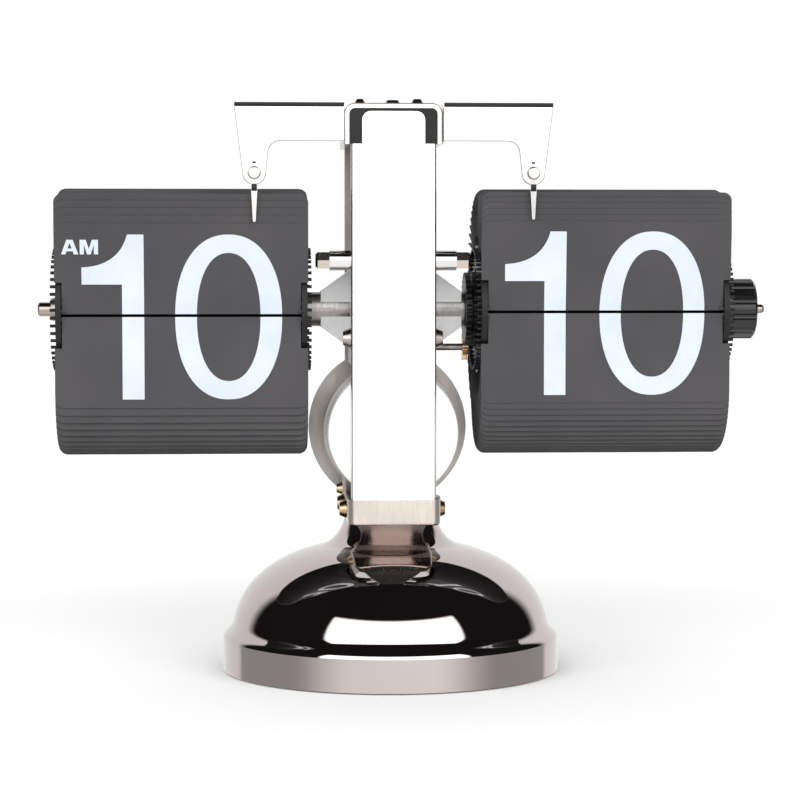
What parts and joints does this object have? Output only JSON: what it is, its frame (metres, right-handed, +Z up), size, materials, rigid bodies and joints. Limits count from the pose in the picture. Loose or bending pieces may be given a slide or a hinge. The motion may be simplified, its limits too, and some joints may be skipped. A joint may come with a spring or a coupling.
{
  "type": "flip number clock",
  "caption": "Table clock whose hours and minutes are printed on two side-by-side drums of flipping leaves, on a column over a domed polished base.",
  "frame": {"origin": "centre of the base's underside, on the surface the clock stands on", "axes": "+X along the axle to the minute drum and its knob, +Y to the back, +Z up"},
  "size_m": [0.2058, 0.0964, 0.1607],
  "materials": {
    "mirror_chrome": "mirror-polished spun steel",
    "polished_steel": "polished flat steel",
    "satin_steel": "satin steel",
    "warm_steel": "satin steel, slightly warm",
    "dark_steel": "dark machined steel",
    "brass": "turned brass",
    "black_gloss": "glossy black",
    "drum_black": "moulded black, half matte",
    "leaf_grey": "matte dark grey printed film",
    "print_white": "white screen print",
    "case_grey": "moulded light grey",
    "cast_ballast": "rough cast iron",
    "felt": "black foot pad",
    "cell_wrap": "plain printed wrap"
  },
  "bodies": {
    "frame": {"base_shell": "mirror_chrome", "foot_pad": "felt", "base_plate": "dark_steel", "base_ballast": "cast_ballast", "centre_bolt": "dark_steel", "centre_nut": "dark_steel", "collar": "warm_steel", "collar_screws": "brass", "front_plate": "polished_steel", "back_plate": "satin_steel", "top_block": "black_gloss", "yoke": "warm_steel", "top_screws": "polished_steel", "side_screws": "warm_steel", "arm_left": "polished_steel", "arm_right": "polished_steel", "pointer_left": "polished_steel", "pointer_right": "polished_steel", "pointer_screws": "warm_steel", "spacer_bar": "dark_steel", "spacer_screws": "warm_steel", "cross_rod": "polished_steel", "rod_nuts": "warm_steel", "axle_tube_left": "dark_steel", "axle_tube_right": "dark_steel", "main_axle": "polished_steel", "axle_stop": "dark_steel", "movement_case": "case_grey", "movement_cover": "case_grey", "motor": "dark_steel", "hour_leaves_upper": "leaf_grey", "hour_leaves_rear": "leaf_grey", "hour_leaves_lower": "leaf_grey", "minute_leaves_upper": "leaf_grey", "minute_leaves_rear": "leaf_grey", "minute_leaves_lower": "leaf_grey", "battery_tube": "case_grey", "battery_band": "satin_steel", "band_screw": "brass", "battery_cell": "cell_wrap", "contact_spring": "brass"},
    "minute_drum": {"minute_sleeve": "drum_black", "minute_drive_wheel": "drum_black", "minute_disc_inner": "drum_black", "minute_disc_outer": "drum_black", "minute_knob": "black_gloss"},
    "hour_drum": {"hour_sleeve": "drum_black", "hour_drive_wheel": "drum_black", "hour_disc_inner": "drum_black", "hour_disc_outer": "drum_black"},
    "drive_train": {"drive_arbor": "dark_steel", "minute_pinion": "brass", "reduction_wheel": "brass"},
    "motor_rotor": {"motor_shaft": "dark_steel", "motor_pinion": "brass"},
    "hour_train": {"hour_arbor": "dark_steel", "hour_pinion": "brass"},
    "minute_leaf": {"minute_leaf_front": "leaf_grey"},
    "hour_leaf": {"hour_leaf_front": "leaf_grey"},
    "battery_end": {"battery_cap": "case_grey"}
  },
  "joints": [
    {"name": "minute_drum_spin", "type": "hinge", "parent": "frame", "child": "minute_drum", "pos_m": [0, 0, 0.1022], "axis": [1, 0, 0], "continuous": true},
    {"name": "hour_drum_spin", "type": "hinge", "parent": "frame", "child": "hour_drum", "pos_m": [0, 0, 0.1022], "axis": [1, 0, 0], "continuous": true},
    {"name": "drive_arbor_spin", "type": "hinge", "parent": "frame", "child": "drive_train", "pos_m": [0, 0.007, 0.09125], "axis": [1, 0, 0], "continuous": true},
    {"name": "motor_spin", "type": "hinge", "parent": "frame", "child": "motor_rotor", "pos_m": [0, -0.0003, 0.09297], "axis": [1, 0, 0], "continuous": true},
    {"name": "hour_arbor_spin", "type": "hinge", "parent": "frame", "child": "hour_train", "pos_m": [0, 0.009, 0.09784], "axis": [1, 0, 0], "continuous": true},
    {"name": "minute_leaf_flip", "type": "hinge", "parent": "frame", "child": "minute_leaf", "pos_m": [0.0591, -0.0165, 0.10249], "axis": [1, 0, 0], "range_deg": [0, 167]},
    {"name": "hour_leaf_flip", "type": "hinge", "parent": "frame", "child": "hour_leaf", "pos_m": [-0.0584, -0.01649, 0.10177], "axis": [1, 0, 0], "range_deg": [0, 169]},
    {"name": "battery_cap_slide", "type": "slide", "parent": "frame", "child": "battery_end", "axis": [0, 1, 0], "range_m": [0, 0.03]}
  ],
  "couplings": [
    {"joint": "hour_drum_spin", "follows": "minute_drum_spin", "ratio": 0.020833},
    {"joint": "drive_arbor_spin", "follows": "minute_drum_spin", "ratio": -3},
    {"joint": "motor_spin", "follows": "minute_drum_spin", "ratio": 6},
    {"joint": "hour_arbor_spin", "follows": "minute_drum_spin", "ratio": -0.0625}
  ]
}
